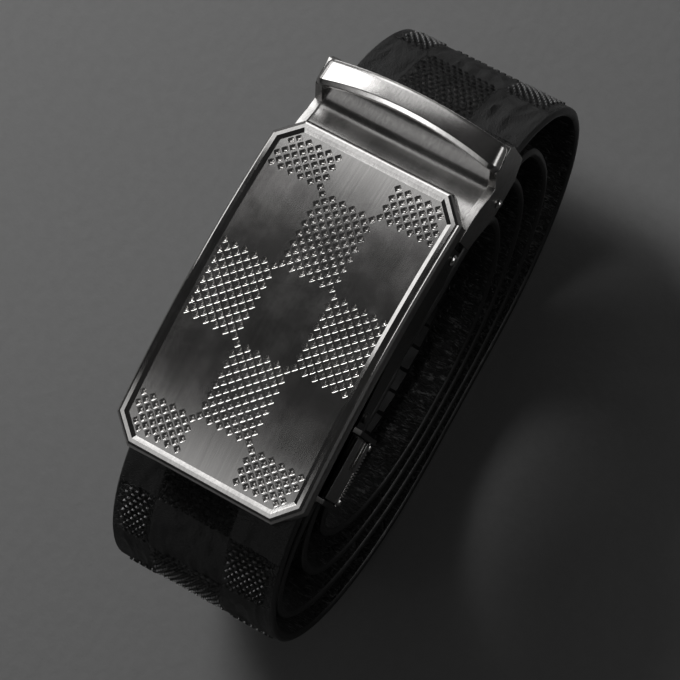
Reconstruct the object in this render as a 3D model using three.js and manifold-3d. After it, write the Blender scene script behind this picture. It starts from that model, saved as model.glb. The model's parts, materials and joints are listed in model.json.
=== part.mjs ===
// Ratchet belt, rolled up and lying on the edge of its strap's outer turn, with the buckle on top.
// Millimetres. +X runs along the buckle towards its clip, +Y across the belt, +Z up from the floor.
// The origin is on the floor, under the middle of the roll.

import * as THREE from 'three';
import { mergeVertices } from 'three/addons/utils/BufferGeometryUtils.js';
import Module from 'manifold-3d';

const wasm = await Module();
wasm.setup();

// Face plate
const plateLength = 67.5;
const plateArch = 3.4; // the plate's middle stands this much above its ends
const plateCorner = 4.6; // leg of each corner's chamfer
const plateDepth = 4.5; // height of the plate's edge
const plateSkin = 2.3; // metal over the hollow back
const plateWall = 1.0; // wall round the hollow back
const rimWidth = 1.6;
const rimBevel = 0.8;
const edgeBevel = 0.9;
const fieldRecess = 0.5; // how far the field lies under the rim

// Pitted checker on the field. Every other place of one fine grid holds a pit inside a pitted cell.
const stepAlong = 1.033; // the grid's step along the belt
const stepAcross = 1.06;
const cellStepsAlong = 15; // grid steps from one cell's middle to the next
const cellStepsAcross = 11;
const pitReach = 0.8; // centre to corner of one square pit
const pitDepth = 0.4;
const pitMargin = 0.75; // from a pit's middle to the field's edge
const checkerRows = 5;
const checkerColumns = 3;

// Strap and its roll
const strapWidth = 35;
const strapThickness = 2.2;
const layerGap = 0.4; // between turns that lie on each other
const rollHeight = 65; // floor to the plate's rim at its ends
const clipOverhang = 28.65; // the roll reaches this far past the plate on the clip's side
const mouthOverhang = 18.25; // and this far past it on the other
const turnShift = 0.82; // sideways step of each inner turn
const tipLength = 24;
const tipWidth = 15; // width left at the very end of the strap

// Toothed track on the strap's inner face
const trackLength = 230;
const trackWidth = 21;
const trackThickness = 0.7;
const toothPitch = 5.2;
const toothHeight = 0.6;

// Housing under the plate
const housingClearance = 0.35; // between neighbouring pieces that touch on the real belt
const sideClearance = 0.3; // strap edge to cheek
const clipClearance = 0.1; // the clip's side plates stand this much wider than the cheeks inside
const cheekThickness = 1.0;
const cheekDepth = 8.5; // web's underside to the cheek's lower edge
const webThickness = 0.9;
const mouthInset = 7.45; // the housing's mouth end inside the plate's
const webWindowLength = 24;
const webWindowWidth = 20;
const mouthCorner = 2; // chamfer of the cheek's lower corner
const lugTop = 2; // the lugs start this far under the web on the cheek
const lugSlope = 2; // and this much lower at their outer edge

// Clip that holds the cut end of the strap
const clipPlateThickness = 1.6;
const clipLength = 22.5; // hinge pin to the clip's outer end
const hingeInset = 9.85; // hinge pin inside the plate's end
const hingeDrop = 9.6; // hinge pin under the rim
const hingePinRadius = 0.8;
const knuckleRadius = 1.8;
const clipKnuckleWidth = 22;
const barWidth = 5.4; // along the belt
const barThickness = 1.7;
const barRise = 2.4; // the bar's middle stands this much above its ends
const barBow = 1.7; // and this much further out
const barTop = 3.4; // bar ends under the rim
const barCorner = 2.4; // radius of the bend from the bar down to each leg
const barEase = 0.9; // width of the bar's sloped long edges
const barFoot = 7.7; // legs end this far under the rim

// Clamp jaw
const jawThickness = 1.1;
const jawLength = 12;
const jawPinRadius = 0.55;
const jawBarrelRadius = 1.05;
const jawToothHeight = 0.45;
const jawToothPitch = 2.0;
const jawPinPlace = 0.6; // share of the clip's length
const jawBarrelDrop = 0.25; // the barrel's middle under its pin
const jawGap = 0.11; // more room over the jaw's teeth, where the strap's run slopes

// Release lever and its pin
const leverLength = 12.4; // along the belt
const leverThickness = 0.8;
const leverInset = 15.15; // middle of the lever inside the plate's mouth end
const leverPinDrop = 17.6; // pin under the rim
const leverPinOut = 0.45; // pin outside the cheek's outer face
const leverPinRadius = 0.35;
const leverKnuckleRadius = 0.9;
const leverKnuckleWidth = 1.1;
const runningGap = 0.25; // round each pin
const lugThickness = 1.0;
const pawlReach = 15.4; // pin to the pawl's edge, across the belt
const pawlToothHeight = 0.45;
const pawlToothTip = 0.7;
const pawlToothFoot = 1.2;
const pawlGap = 0.25; // more room between the strap and the pawl
const thumbLength = 5.8;
const thumbHeight = 1.8;
const thumbDepth = 0.5;
const thumbRise = 0.6; // over the foot of the lever's plate
const springRadius = 0.75;
const springWire = 0.1;

// Rivets
const rivetHeadRadius = 1.0;
const hingeHeadRadius = 1.2;
const rivetHeadHeight = 0.5;
const rivetCrown = 0.6; // flat of a head, as a share of its radius
const pinEndPlay = 0.1;
const cheekRivetInset = 25; // inside the plate's mouth end
const cheekRivetDrop = 8.9;

// Sizes that follow
const rollLength = plateLength + clipOverhang + mouthOverhang;
const buckleX = -(clipOverhang - mouthOverhang) / 2; // middle of the plate from the middle of the roll
const layerStep = strapThickness + layerGap;
const cheekInner = strapWidth / 2 + sideClearance;
const cheekOuter = cheekInner + cheekThickness;
const plateWidth = 2 * (cheekOuter + housingClearance + plateWall);
const webTop = -(plateSkin + housingClearance);
const webBottom = webTop - webThickness;
const cheekBottom = webBottom - cheekDepth;
const hingeX = plateLength / 2 - hingeInset;
const clipInner = cheekInner + clipClearance;
const clipOuter = clipInner + clipPlateThickness;
const clipEnd = hingeX + clipLength;

const metal = (color, roughness) => new THREE.MeshStandardMaterial({ color, roughness, metalness: 1 });
const finishes = {
  plate: metal(0x4a484c, 0.28),
  housing: metal(0x3a393c, 0.35),
  clip: metal(0x504e52, 0.16),
  steel: metal(0x9a9a9e, 0.25),
  leather: new THREE.MeshStandardMaterial({ color: 0x151515, roughness: 0.6, metalness: 0 }),
  track: new THREE.MeshStandardMaterial({ color: 0x0e0e0e, roughness: 0.5, metalness: 0 }),
};

// Solids and cuts

function merged(geometry) {
  const plain = geometry.index ? geometry.toNonIndexed() : geometry.clone();
  for (const name of Object.keys(plain.attributes)) {
    if (name !== 'position') plain.deleteAttribute(name);
  }
  return mergeVertices(plain, 1e-4);
}

function toSolid(geometry) {
  const shared = merged(geometry);
  return new wasm.Manifold(new wasm.Mesh({
    numProp: 3,
    vertProperties: new Float32Array(shared.attributes.position.array),
    triVerts: new Uint32Array(shared.index.array),
  }));
}

function toGeometry(solid) {
  const mesh = solid.getMesh();
  const geometry = new THREE.BufferGeometry();
  geometry.setAttribute('position', new THREE.BufferAttribute(new Float32Array(mesh.vertProperties), 3));
  geometry.setIndex(new THREE.BufferAttribute(new Uint32Array(mesh.triVerts), 1));
  return geometry;
}

function joined(...geometries) {
  return toGeometry(geometries.map(toSolid).reduce((sum, next) => sum.add(next)));
}

function cut(geometry, tools) {
  return toGeometry(tools.map(toSolid).reduce((rest, tool) => rest.subtract(tool), toSolid(geometry)));
}

// Skins a row of rings that all have the same even number of points. Each end is closed by strips
// between the ring's two halves.
function skinned(rings) {
  const count = rings[0].length;
  const points = rings.flat();
  const index = [];
  for (let r = 0; r + 1 < rings.length; r += 1) {
    for (let p = 0; p < count; p += 1) {
      const a = r * count + p;
      const b = r * count + ((p + 1) % count);
      index.push(a, b, a + count, b, b + count, a + count);
    }
  }
  const last = (rings.length - 1) * count;
  for (let p = 0; p + 1 < count / 2; p += 1) {
    const across = count - 1 - p;
    index.push(p, across - 1, p + 1, p, across, across - 1);
    index.push(last + p, last + p + 1, last + across - 1, last + p, last + across - 1, last + across);
  }
  const geometry = new THREE.BufferGeometry().setFromPoints(points);
  geometry.setIndex(index);
  return geometry;
}

function outline(points) {
  return new THREE.Shape(points.map(([a, b]) => new THREE.Vector2(a, b)));
}

// Extrudes an outline of (x, z) points between two places across the belt.
function acrossBelt(points, fromY, toY) {
  const geometry = new THREE.ExtrudeGeometry(outline(points), { depth: toY - fromY, bevelEnabled: false });
  return geometry.rotateX(Math.PI / 2).translate(0, toY, 0);
}

// Extrudes an outline of (y, z) points between two places along the belt.
function alongBelt(points, fromX, toX) {
  const geometry = new THREE.ExtrudeGeometry(outline(points), { depth: toX - fromX, bevelEnabled: false });
  const turn = new THREE.Matrix4().makeBasis(
    new THREE.Vector3(0, 1, 0), new THREE.Vector3(0, 0, 1), new THREE.Vector3(1, 0, 0));
  return geometry.applyMatrix4(turn).translate(fromX, 0, 0);
}

function block(fromX, toX, fromY, toY, fromZ, toZ) {
  return new THREE.BoxGeometry(toX - fromX, toY - fromY, toZ - fromZ)
    .translate((fromX + toX) / 2, (fromY + toY) / 2, (fromZ + toZ) / 2);
}

function rodAcross(radius, x, z, fromY, toY, sides = 16) {
  return new THREE.CylinderGeometry(radius, radius, toY - fromY, sides).translate(x, (fromY + toY) / 2, z);
}

function rodAlong(radius, y, z, fromX, toX, sides = 12) {
  return new THREE.CylinderGeometry(radius, radius, toX - fromX, sides)
    .rotateZ(Math.PI / 2).translate((fromX + toX) / 2, y, z);
}

// A turned profile of [radius, place] points about the Y axis, for pins with heads.
function turned(profile, x, z, sides = 16) {
  const points = profile.map(([radius, place]) => new THREE.Vector2(radius, place));
  return new THREE.LatheGeometry(points, sides).translate(x, 0, z);
}

function rivetPin(radius, halfSpan, headRadius, headHeight, x, z) {
  const half = halfSpan + headHeight;
  return turned([
    [0, -half], [headRadius * rivetCrown, -half], [headRadius, -halfSpan], [radius, -halfSpan],
    [radius, halfSpan], [headRadius, halfSpan], [headRadius * rivetCrown, half], [0, half],
  ], x, z);
}

// Face plate: an arched, eight-sided tray with a bevelled rim, a sunk field and a pitted checker

const archSteps = 12;

// Height of the arch over the plate's ends, at a place along it.
function archAt(x) {
  const share = Math.min(1, Math.abs(x) / (plateLength / 2));
  return plateArch * (1 - share * share);
}

// A line of (x, z) points that keeps a height over or under the arched rim.
function archedLine(fromX, toX, height) {
  const points = [];
  for (let i = 0; i <= archSteps; i += 1) {
    const x = fromX + ((toX - fromX) * i) / archSteps;
    points.push([x, height + archAt(x)]);
  }
  return points;
}

// The plate's outline moved in, first its +Y half and then the other.
function plateRing(inset, height) {
  const corner = plateCorner - inset * (2 - Math.SQRT2);
  const x = plateLength / 2 - inset;
  const y = plateWidth / 2 - inset;
  const side = [
    [x, y - corner],
    ...archedLine(x - corner, -x + corner, 0).map(([along]) => [along, y]),
    [-x, y - corner],
  ];
  const ring = [...side, ...side.map(([a, b]) => [a, -b]).reverse()];
  return ring.map(([a, b]) => new THREE.Vector3(a, b, height + archAt(a)));
}

function insidePlate(x, y, inset) {
  const corner = plateCorner - inset * (2 - Math.SQRT2);
  const spareX = plateLength / 2 - inset - Math.abs(x);
  const spareY = plateWidth / 2 - inset - Math.abs(y);
  return spareX >= 0 && spareY >= 0 && spareX + spareY >= corner;
}

function pitCentres() {
  const centres = [];
  const middleRow = (checkerRows - 1) / 2;
  const middleColumn = (checkerColumns - 1) / 2;
  const reachAlong = (cellStepsAlong - 1) / 2;
  const reachAcross = (cellStepsAcross - 1) / 2;
  for (let row = -middleRow; row <= middleRow; row += 1) {
    for (let column = -middleColumn; column <= middleColumn; column += 1) {
      if ((row % 2 === 0) !== (column !== 0)) continue;
      for (let i = -reachAlong; i <= reachAlong; i += 1) {
        for (let j = -reachAcross; j <= reachAcross; j += 1) {
          const x = (row * cellStepsAlong + i) * stepAlong;
          const y = (column * cellStepsAcross + j) * stepAcross;
          const pitted = (i + j) % 2 === 0;
          if (pitted && insidePlate(x, y, rimWidth + rimBevel + pitMargin)) centres.push([x, y]);
        }
      }
    }
  }
  return centres;
}

// One square pit, its corners along and across the belt. Its tool stands above the field by a cover.
function pitTool([x, y]) {
  const cover = 0.2;
  const spread = pitReach * (1 + cover / pitDepth);
  return new THREE.ConeGeometry(spread, pitDepth + cover, 4, 1)
    .rotateX(-Math.PI / 2)
    .translate(x, y, archAt(x) - fieldRecess - pitDepth + (pitDepth + cover) / 2);
}

function facePlate() {
  const body = skinned([
    plateRing(plateWall, -plateSkin),
    plateRing(plateWall, -plateDepth),
    plateRing(edgeBevel / 4, -plateDepth),
    plateRing(0, -edgeBevel * 1.4),
    plateRing(edgeBevel / 2, -edgeBevel / 3),
    plateRing(edgeBevel, 0),
    plateRing(rimWidth, 0),
    plateRing(rimWidth + rimBevel, -fieldRecess),
  ]);
  return cut(body, pitCentres().map(pitTool));
}

// Strap: a row for each half turn, from the clip inwards. The reach is a share of the roll's length
// from its middle. Shoulder and haunch, where the bend's upper and lower quarters meet its upright part,
// and the top are shares of the roll's height. topX and footX, where the bend meets the runs above and
// below, are shares of the roll's length. Layer counts the turns that lie under its foot, and shift
// counts sideways steps.
const bends = [
  { reach: 0.500, shoulder: 0.429, haunch: 0.429, topX: 0.217, top: 0.834, footX: 0.124, layer: 0, shift: 0.0 },
  { reach: -0.500, shoulder: 0.468, haunch: 0.468, topX: -0.217, top: 0.917, footX: -0.126, layer: 0, shift: 0.0 },
  { reach: 0.405, shoulder: 0.569, haunch: 0.492, topX: 0.278, top: 0.738, footX: 0.024, layer: 1, shift: 0.2 },
  { reach: -0.465, shoulder: 0.515, haunch: 0.515, topX: -0.238, top: 0.788, footX: -0.028, layer: 1, shift: 1.3 },
  { reach: 0.348, shoulder: 0.569, haunch: 0.523, topX: 0.243, top: 0.689, footX: -0.010, layer: 2, shift: 1.6 },
  { reach: -0.382, shoulder: 0.477, haunch: 0.431, topX: -0.185, top: 0.735, footX: -0.045, layer: 2, shift: 2.3 },
  { reach: 0.278, shoulder: 0.523, haunch: 0.523, topX: 0.173, top: 0.649, footX: -0.010, layer: 3, shift: 2.4 },
  { reach: -0.316, shoulder: 0.477, haunch: 0.477, topX: -0.150, top: 0.645, footX: -0.045, layer: 3, shift: 3.1 },
];
const freeEnd = { x: 0.112, z: 0.555, shift: 3.2 };
const bendSteps = 7; // in each quarter
const runSteps = 5;

// Quarter of an ellipse from a run's end to a bend's upright part.
function quarter(level, upright, steps) {
  const points = [];
  for (let i = 0; i <= steps; i += 1) {
    const angle = (Math.PI / 2) * (i / steps);
    points.push({
      x: level.x + (upright.x - level.x) * Math.sin(angle),
      z: upright.z + (level.z - upright.z) * Math.cos(angle),
    });
  }
  return points;
}

function eased(share) {
  return share * share * (3 - 2 * share);
}

// Runs from one level end to the next, leaving out both ends.
function levelRun(from, to) {
  const points = [];
  for (let i = 1; i < runSteps; i += 1) {
    const share = i / runSteps;
    points.push({ x: from.x + (to.x - from.x) * share, z: from.z + (to.z - from.z) * eased(share) });
  }
  return points;
}

// The strap's outer face, seen from the side, from the clipped end to the free end.
function strapPath() {
  const path = [];
  let apexes = [];
  bends.forEach((bend, number) => {
    const reach = bend.reach * rollLength;
    const top = { x: bend.topX * rollLength, z: bend.top * rollHeight };
    const foot = { x: bend.footX * rollLength, z: bend.layer * layerStep };
    const upper = quarter(top, { x: reach, z: bend.shoulder * rollHeight }, bendSteps);
    const lower = quarter(foot, { x: reach, z: bend.haunch * rollHeight }, bendSteps);
    const upright = bend.shoulder === bend.haunch ? lower.slice(0, -1) : lower;
    const down = reach > 0;
    const turn = down ? [...upper, ...upright.reverse()] : [...lower, ...upper.slice(0, -1).reverse()];
    if (!down && bend.shoulder !== bend.haunch) turn.splice(lower.length, 0, upper[upper.length - 1]);
    if (number > 0) path.push(...levelRun(path[path.length - 1], turn[0]));
    apexes = [...apexes, { place: path.length + bendSteps, shift: bend.shift }];
    path.push(...turn);
  });
  const end = { x: freeEnd.x * rollLength, z: freeEnd.z * rollHeight };
  path.push(...levelRun(path[path.length - 1], end), end);
  apexes = [...apexes, { place: path.length - 1, shift: freeEnd.shift }];
  return withShift(withNormals(path), apexes);
}

// Adds the length run so far and the direction into the roll at each point.
function withNormals(path) {
  let run = 0;
  return path.map((point, i) => {
    const before = path[Math.max(i - 1, 0)];
    const after = path[Math.min(i + 1, path.length - 1)];
    if (i > 0) run += Math.hypot(point.x - before.x, point.z - before.z);
    const length = Math.hypot(after.x - before.x, after.z - before.z);
    const inX = (after.z - before.z) / length;
    const inZ = -(after.x - before.x) / length;
    return { ...point, run, inX, inZ };
  });
}

function withShift(path, apexes) {
  return path.map((point, i) => {
    const next = apexes.findIndex((apex) => apex.place >= i);
    if (next === 0) return { ...point, y: apexes[0].shift * turnShift };
    const from = apexes[next - 1];
    const to = apexes[next];
    const share = (point.run - path[from.place].run) / (path[to.place].run - path[from.place].run);
    return { ...point, y: (from.shift + (to.shift - from.shift) * share) * turnShift };
  });
}

const route = strapPath();
const strapLength = route[route.length - 1].run;

// The point of the strap's outer face at a given length from the clip.
function routeAt(run) {
  const next = Math.max(1, route.findIndex((point) => point.run >= run));
  const a = route[next - 1];
  const b = route[next];
  const share = (run - a.run) / (b.run - a.run);
  const mix = (key) => a[key] + (b[key] - a[key]) * share;
  const length = Math.hypot(mix('inX'), mix('inZ'));
  return { x: mix('x'), y: mix('y'), z: mix('z'), inX: mix('inX') / length, inZ: mix('inZ') / length };
}

// Four corners of a flat section across the strap, between two depths under its outer face.
function section(point, fromDepth, toDepth, halfWidth) {
  const corner = (depth, side) => new THREE.Vector3(
    point.x + point.inX * depth, point.y + side * halfWidth, point.z + point.inZ * depth);
  return [corner(fromDepth, -1), corner(toDepth, -1), corner(toDepth, 1), corner(fromDepth, 1)];
}

// Half width of the strap at a length from the clip, rounded off over its tip.
function halfWidthAt(run) {
  const left = strapLength - run;
  if (left >= tipLength) return strapWidth / 2;
  const share = 1 - left / tipLength;
  return tipWidth / 2 + ((strapWidth - tipWidth) / 2) * Math.sqrt(1 - share * share);
}

function strap() {
  const tipPlaces = [1, 0.66, 0.36, 0.14, 0.03].map((share) => strapLength - share * tipLength);
  const plain = route.filter((point) => point.run < tipPlaces[0] - layerGap);
  const tip = [...tipPlaces, strapLength].map((run) => ({ ...routeAt(run), run }));
  return skinned([...plain, ...tip].map((point) => (
    section(point, 0, strapThickness, halfWidthAt(point.run)))));
}

// The track is a strip of saw teeth that slope one way and stand up the other.
function ratchetTrack() {
  const end = strapLength - tipLength - toothPitch;
  const teeth = Math.floor(trackLength / toothPitch);
  const base = strapThickness + housingClearance;
  const rings = [];
  for (let tooth = 0; tooth < teeth; tooth += 1) {
    const start = end - (teeth - tooth) * toothPitch;
    rings.push(section(routeAt(start), base, base + trackThickness, trackWidth / 2));
    rings.push(section(routeAt(start + toothPitch * 0.85), base,
      base + trackThickness + toothHeight, trackWidth / 2));
  }
  rings.push(section(routeAt(end), base, base + trackThickness, trackWidth / 2));
  return skinned(rings);
}

// Height of the clipped end's outer face over a place along the buckle, from the plate's rim.
function clippedTop(x) {
  const place = x + buckleX;
  const next = route.findIndex((point) => point.x >= place);
  if (next <= 0) return route[0].z - rollHeight;
  const a = route[next - 1];
  const b = route[next];
  return a.z + ((b.z - a.z) * (place - a.x)) / (b.x - a.x) - rollHeight;
}

// Housing: a web under the plate with two cheeks, hinge knuckles, lever lugs and rivet heads

const leverStart = leverInset - plateLength / 2 - leverLength / 2;
const leverEnd = leverStart + leverLength;
const leverPinY = -(cheekOuter + leverPinOut);
const strapCrest = 1 - bends[1].top; // the turn under the plate comes this share of the height near the rim
const pawlTop = -strapCrest * rollHeight - strapThickness - 2 * housingClearance - pawlToothHeight - pawlGap;
const knuckleInner = clipKnuckleWidth / 2 + housingClearance;

function buckleHousing() {
  const mouth = mouthInset - plateLength / 2;
  const inner = hingeX + knuckleRadius;
  const web = [...archedLine(mouth, inner, webTop), ...archedLine(inner, mouth, webBottom)];
  const cheek = [
    ...archedLine(mouth, inner, webTop), [inner, -hingeDrop - knuckleRadius],
    [hingeX - 2 * knuckleRadius, cheekBottom], [mouth + mouthCorner, cheekBottom],
    [mouth, cheekBottom + mouthCorner],
  ];
  const parts = [acrossBelt(web, -cheekOuter, cheekOuter)];
  for (const side of [-1, 1]) {
    const [from, to] = side < 0 ? [-cheekOuter, -cheekInner] : [cheekInner, cheekOuter];
    const [knuckleFrom, knuckleTo] = side < 0 ? [-cheekOuter, -knuckleInner] : [knuckleInner, cheekOuter];
    const head = side < 0 ? [-cheekOuter - rivetHeadHeight, -cheekInner] : [cheekInner, cheekOuter + rivetHeadHeight];
    parts.push(acrossBelt(cheek, from, to));
    parts.push(rodAcross(knuckleRadius, hingeX, -hingeDrop, knuckleFrom, knuckleTo));
    parts.push(rodAcross(rivetHeadRadius, cheekRivetInset - plateLength / 2, -cheekRivetDrop, head[0], head[1]));
  }
  const lugOuter = leverPinY - leverKnuckleRadius;
  const lug = [
    [-cheekInner, webBottom - lugTop], [lugOuter, webBottom - lugTop - lugSlope],
    [lugOuter, -leverPinDrop - leverKnuckleRadius], [-cheekOuter, -leverPinDrop - leverKnuckleRadius],
    [-cheekInner, -leverPinDrop + leverKnuckleRadius],
  ];
  const lugGap = housingClearance;
  for (const from of [leverStart - lugGap - lugThickness, leverEnd + lugGap]) {
    parts.push(alongBelt([...lug].reverse(), from, from + lugThickness));
  }
  const tools = [
    rodAcross(hingePinRadius + runningGap, hingeX, -hingeDrop, -cheekOuter - 1, cheekOuter + 1),
    rodAlong(leverPinRadius + runningGap, leverPinY, -leverPinDrop,
      leverStart - lugThickness - 2, leverEnd + lugThickness + 2),
    block(leverStart - lugGap, leverEnd + lugGap, -cheekOuter - 2, -cheekInner + 1,
      cheekBottom - 1, pawlTop + 2 * housingClearance),
    block(-webWindowLength / 2, webWindowLength / 2, -webWindowWidth / 2, webWindowWidth / 2,
      webBottom - 1, webTop + plateArch + 1),
  ];
  return cut(joined(...parts), tools);
}

// Tail clip: a scooped body with side plates, a hinge knuckle and an arched bar over it

// Shares of the clip's length from its hinge pin, and drops under the rim as shares of the hinge pin's.
const scoop = [
  { along: 0.14, drop: 0.665 },
  { along: 0.32, drop: 0.690 },
  { along: 0.45, drop: 0.790 },
  { along: 0.56, drop: 0.930 },
  { along: 0.66, drop: 1.000 },
  { along: 0.76, drop: 0.950 },
  { along: 0.87, drop: 0.885 },
  { along: 1.00, drop: 0.895 },
];
const clipSide = [
  { along: 0.14, drop: 0.600 },
  { along: 0.32, drop: 0.640 },
  { along: 0.45, drop: 0.745 },
  { along: 0.56, drop: 0.885 },
  { along: 0.67, drop: 0.970 },
  { along: 0.76, drop: 0.600 },
  { along: 1.00, drop: 0.560 },
  { along: 1.03, drop: 0.740 },
  { along: 1.02, drop: 1.560 },
  { along: 0.84, drop: 1.820 },
  { along: 0.50, drop: 1.780 },
  { along: 0.14, drop: 1.300 },
];

const armLength = 0.2; // the knuckle's arm, as a share of the clip's length
const scoopSteps = 20;

function clipPoint({ along, drop }) {
  return [hingeX + along * clipLength, -drop * hingeDrop];
}

const underside = [1.0, 0.84, 0.62, 0.4, 0.14].map((along) => {
  const x = hingeX + along * clipLength;
  return [x, clippedTop(x) + housingClearance];
});

// Half of the line that the bar's outer face follows: up a leg, round its bend and along the arch to the
// middle. The turn is the face's direction, nought where it faces out and a quarter turn where it faces up.
function barLine() {
  const slope = Math.atan((2 * barRise) / clipOuter);
  const cornerTurn = Math.PI / 2 - slope;
  const endY = clipOuter - barCorner * (1 - Math.cos(cornerTurn));
  const cornerZ = -barTop - barCorner * Math.sin(cornerTurn);
  const line = [{ y: clipOuter, z: -barFoot, turn: 0, arch: 0 }];
  for (let i = 0; i <= 5; i += 1) {
    const turn = (cornerTurn * i) / 5;
    line.push({
      y: clipOuter - barCorner * (1 - Math.cos(turn)), z: cornerZ + barCorner * Math.sin(turn), turn, arch: 0,
    });
  }
  for (let i = 7; i >= 0; i -= 1) {
    const share = i / 8;
    const arch = 1 - share * share;
    line.push({ y: endY * share, z: -barTop + barRise * arch, turn: Math.PI / 2 - slope * share, arch });
  }
  return line;
}

// The bar's section square to its line, on one side of the belt or the other.
function barSection({ y, z, turn, arch }, side) {
  const front = clipEnd - barWidth + barBow * arch;
  const back = clipEnd + barBow * arch * 0.6;
  const shape = [
    [front, barThickness], [front, barThickness * 0.3], [front + barEase, 0],
    [back - barEase, barThickness * 0.2], [back, barThickness * 0.5], [back, barThickness],
  ];
  return shape.map(([x, depth]) => (
    new THREE.Vector3(x, side * (y - depth * Math.cos(turn)), z - depth * Math.sin(turn))));
}

function bentBar() {
  const line = barLine();
  const left = line.map((point) => barSection(point, -1));
  const right = line.slice(0, -1).map((point) => barSection(point, 1)).reverse();
  return skinned([...left, ...right]);
}

const jawPinX = hingeX + clipLength * jawPinPlace;
const jawPinZ = clippedTop(jawPinX) - strapThickness - housingClearance - jawBarrelRadius;

function tailClip() {
  const legs = [-1, 1].map((side) => {
    const [from, to] = side < 0 ? [-clipOuter, -clipInner] : [clipInner, clipOuter];
    return acrossBelt([...clipSide].map(clipPoint).reverse(), from, to);
  });
  const armEnd = hingeX + armLength * clipLength;
  const arm = [
    [hingeX, -hingeDrop + knuckleRadius], [hingeX, -hingeDrop - knuckleRadius * 0.2],
    [armEnd, underside[underside.length - 1][1]], [armEnd, -scoop[0].drop * hingeDrop],
  ];
  const floor = new THREE.SplineCurve(scoop.map((place) => new THREE.Vector2(...clipPoint(place))));
  const scooped = floor.getPoints(scoopSteps).map((point) => [point.x, point.y]);
  const overlap = 0.05; // into the side plates
  const solid = joined(
    acrossBelt([...scooped, ...underside].reverse(), -clipInner - overlap, clipInner + overlap),
    ...legs,
    bentBar(),
    acrossBelt(arm, -clipKnuckleWidth / 2, clipKnuckleWidth / 2),
    rodAcross(knuckleRadius, hingeX, -hingeDrop, -clipKnuckleWidth / 2, clipKnuckleWidth / 2),
  );
  return cut(solid, [
    rodAcross(hingePinRadius + runningGap, hingeX, -hingeDrop, -clipKnuckleWidth, clipKnuckleWidth),
    rodAcross(jawPinRadius + runningGap, jawPinX, jawPinZ, -clipOuter - 1, clipOuter + 1),
  ]);
}

// Clamp jaw: a toothed plate that presses the strap's cut end against the clip

function clampJaw() {
  const start = jawPinX - jawLength / 2;
  const end = jawPinX + jawLength / 2;
  const face = (x) => clippedTop(x) - strapThickness - jawGap - housingClearance;
  const top = [];
  for (let x = start; x < end - jawToothPitch / 2; x += jawToothPitch) {
    top.push([x, face(x) - jawToothHeight]);
    top.push([x + jawToothPitch / 2, face(x + jawToothPitch / 2)]);
  }
  top.push([end, face(end) - jawToothHeight]);
  const bottom = [end, jawPinX, start].map((x) => [x, face(x) - jawToothHeight - jawThickness]);
  const halfWidth = strapWidth / 2;
  const plate = acrossBelt([...top, ...bottom].reverse(), -halfWidth, halfWidth);
  const barrel = rodAcross(jawBarrelRadius, jawPinX, jawPinZ - jawBarrelDrop, -halfWidth, halfWidth);
  const bore = rodAcross(jawPinRadius + runningGap, jawPinX, jawPinZ, -halfWidth - 1, halfWidth + 1);
  return cut(joined(plate, barrel), [bore]);
}

// Release lever: knuckles on the pin, an upright plate with a thumb ridge, and the pawl under the strap

function releaseLever() {
  const plateOuter = leverPinY - leverThickness / 2;
  const plateInner = leverPinY + leverThickness / 2;
  const pawlEdge = leverPinY + pawlReach;
  const plateFoot = -leverPinDrop + springRadius + runningGap;
  const shape = [
    [plateOuter, plateFoot], [plateInner, plateFoot], [plateInner, pawlTop - leverThickness],
    [pawlEdge, pawlTop - leverThickness], [pawlEdge, pawlTop + pawlToothHeight],
    [pawlEdge - pawlToothTip, pawlTop + pawlToothHeight], [pawlEdge - pawlToothFoot, pawlTop],
    [plateOuter, pawlTop],
  ];
  const thumbFoot = plateFoot + thumbRise;
  const parts = [
    alongBelt(shape, leverStart, leverEnd),
    block(leverEnd - thumbLength, leverEnd, plateOuter - thumbDepth, plateInner,
      thumbFoot, thumbFoot + thumbHeight),
  ];
  for (const from of [leverStart, leverEnd - leverKnuckleWidth]) {
    parts.push(rodAlong(leverKnuckleRadius, leverPinY, -leverPinDrop, from, from + leverKnuckleWidth));
    parts.push(block(from, from + leverKnuckleWidth, plateOuter, plateInner,
      -leverPinDrop + leverKnuckleRadius * 0.7, plateFoot + 0.3));
  }
  const bore = rodAlong(leverPinRadius + runningGap, leverPinY, -leverPinDrop, leverStart - 1, leverEnd + 1);
  return cut(joined(...parts), [bore]);
}

function leverSpring() {
  const start = leverStart + leverKnuckleWidth + housingClearance;
  const end = leverEnd - leverKnuckleWidth - housingClearance;
  const tube = rodAlong(springRadius, leverPinY, -leverPinDrop, start, end);
  const bore = rodAlong(springRadius - springWire, leverPinY, -leverPinDrop, start - 1, end + 1);
  return cut(tube, [bore]);
}

// The assembly

const belt = new THREE.Group();
const buckle = new THREE.Group();
buckle.position.set(buckleX, 0, rollHeight);
belt.add(buckle);

function place(group, name, geometry, material) {
  const mesh = new THREE.Mesh(geometry, material);
  mesh.name = name;
  group.add(mesh);
}

place(belt, 'strap', strap(), finishes.leather);
place(belt, 'ratchet_track', ratchetTrack(), finishes.track);
place(buckle, 'face_plate', facePlate(), finishes.plate);
place(buckle, 'buckle_housing', buckleHousing(), finishes.housing);
place(buckle, 'tail_clip', tailClip(), finishes.clip);
place(buckle, 'hinge_pin', rivetPin(hingePinRadius, cheekOuter + pinEndPlay, hingeHeadRadius,
  rivetHeadHeight, hingeX, -hingeDrop), finishes.steel);
place(buckle, 'clamp_jaw', clampJaw(), finishes.steel);
place(buckle, 'jaw_pin', rivetPin(jawPinRadius, clipOuter + pinEndPlay, rivetHeadRadius,
  rivetHeadHeight, jawPinX, jawPinZ), finishes.steel);
place(buckle, 'release_lever', releaseLever(), finishes.clip);
place(buckle, 'lever_pin', rodAlong(leverPinRadius, leverPinY, -leverPinDrop,
  leverStart - housingClearance - lugThickness, leverEnd + housingClearance + lugThickness), finishes.steel);
place(buckle, 'lever_spring', leverSpring(), finishes.steel);

export default belt;
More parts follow.
